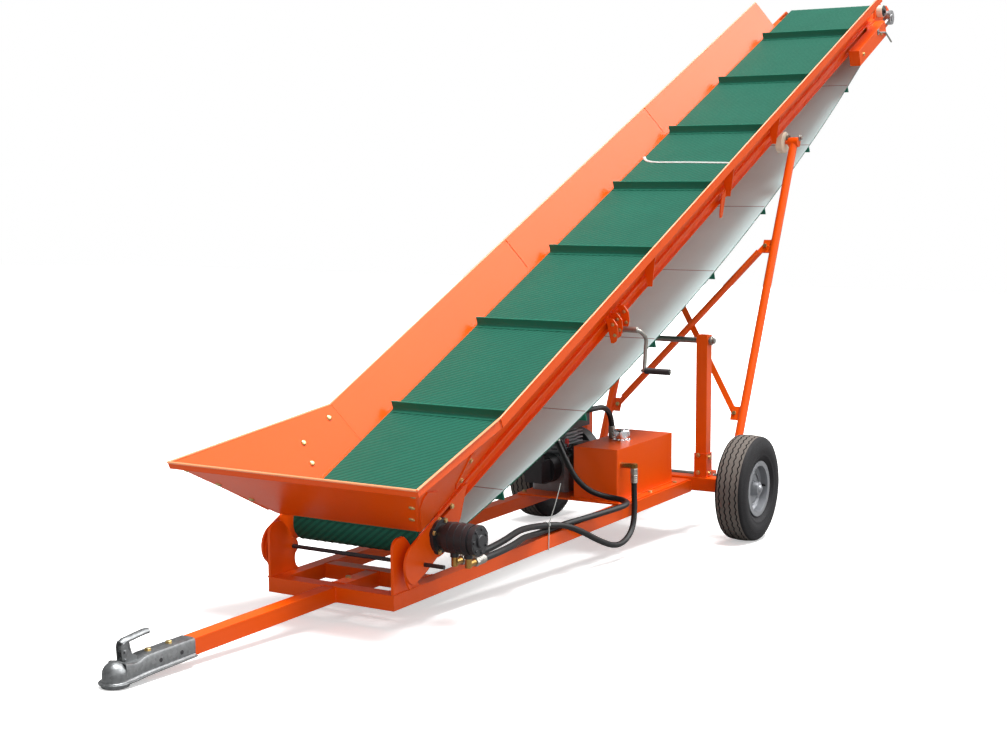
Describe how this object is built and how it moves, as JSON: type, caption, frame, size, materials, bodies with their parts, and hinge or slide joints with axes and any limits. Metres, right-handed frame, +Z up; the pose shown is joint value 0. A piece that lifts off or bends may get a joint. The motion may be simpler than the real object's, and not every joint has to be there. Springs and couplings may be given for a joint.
{
  "type": "firewood belt conveyor",
  "caption": "Towed belt conveyor for firewood: inclined trough with a cleated belt and hopper on a two-wheeled drawbar chassis, with an oil motor drive and swinging legs that set the tilt.",
  "frame": {"origin": "bottom centre of the bounding box, on the ground", "axes": "+X along the machine from the coupler to the discharge end, +Y to the far side, +Z up; parked on its coupler"},
  "size_m": [5.6256, 1.1292, 2.592],
  "materials": {
    "orange_paint": "gloss",
    "galvanised_steel": "satin",
    "black_steel": "satin",
    "bare_steel": "satin",
    "zinc_plate": "satin",
    "tyre_rubber": "matt",
    "silver_paint": "satin",
    "belt_rubber": "matt",
    "hose_rubber": "satin",
    "brass": "satin",
    "nylon": "matt",
    "black_plastic": "matt",
    "cast_aluminium": "rough",
    "chrome": "polished"
  },
  "bodies": {
    "chassis": {"chassis_rails": "orange_paint", "cross_members": "orange_paint", "drawbar": "orange_paint", "coupler": "galvanised_steel", "coupler_latch": "galvanised_steel", "hinge_ears": "orange_paint", "pivot_rod": "black_steel", "axle_beam": "orange_paint", "rest_posts": "orange_paint", "rest_shaft": "bare_steel", "leg_carriers": "orange_paint", "leg_shaft": "bare_steel", "deck": "orange_paint", "oil_tank": "orange_paint", "tank_cap": "chrome", "engine_block": "cast_aluminium", "engine_covers": "black_plastic", "pump": "black_steel", "oil_fittings": "brass", "hose_pressure": "hose_rubber", "hose_return": "hose_rubber", "hose_suction": "hose_rubber"},
    "wheel_near": {"tyre_near": "tyre_rubber", "rim_near": "silver_paint"},
    "wheel_far": {"tyre_far": "tyre_rubber", "rim_far": "silver_paint"},
    "boom": {"trough_rails": "orange_paint", "bed_sheet": "orange_paint", "wall_near": "orange_paint", "wall_far": "orange_paint", "hopper": "orange_paint", "gussets": "orange_paint", "end_plates": "orange_paint", "pivot_strips": "bare_steel", "tail_drum": "bare_steel", "head_drum": "bare_steel", "bearings": "orange_paint", "take_up_boxes": "orange_paint", "head_roller": "nylon", "roller_cap": "black_plastic", "motor": "black_steel", "motor_fittings": "brass", "belt": "belt_rubber", "winch_brackets": "orange_paint"},
    "legs": {"legs": "orange_paint", "leg_braces": "orange_paint"},
    "roller_near": {"roller_near": "nylon"},
    "roller_far": {"roller_far": "nylon"},
    "crank": {"crank": "zinc_plate", "crank_grip": "black_plastic"}
  },
  "joints": [
    {"name": "wheel_near_spin", "type": "hinge", "parent": "chassis", "child": "wheel_near", "pos_m": [0.45883, -0.497, 0.225], "axis": [0, 1, 0], "continuous": true},
    {"name": "wheel_far_spin", "type": "hinge", "parent": "chassis", "child": "wheel_far", "pos_m": [0.45883, 0.497, 0.225], "axis": [0, 1, 0], "continuous": true},
    {"name": "boom_tilt", "type": "hinge", "parent": "chassis", "child": "boom", "pos_m": [-1.69815, 0, 0.20345], "axis": [0, -1, 0], "range_deg": [-3.3, 4], "deforming": ["hose_pressure", "hose_return"]},
    {"name": "leg_swing", "type": "hinge", "parent": "chassis", "child": "legs", "pos_m": [0.67106, 0, 0.22647], "axis": [0, -1, 0], "range_deg": [-9.12, 11.01]},
    {"name": "roller_near_spin", "type": "hinge", "parent": "legs", "child": "roller_near", "pos_m": [1.29143, -0.274, 1.74368], "axis": [0, 1, 0], "continuous": true},
    {"name": "roller_far_spin", "type": "hinge", "parent": "legs", "child": "roller_far", "pos_m": [1.29143, 0.274, 1.74368], "axis": [0, 1, 0], "continuous": true},
    {"name": "crank_turn", "type": "hinge", "parent": "boom", "child": "crank", "pos_m": [-0.38967, 0, 0.91501], "axis": [0, 1, 0], "continuous": true}
  ],
  "couplings": [
    {"joint": "leg_swing", "follows": "boom_tilt", "ratio": 2.702}
  ]
}
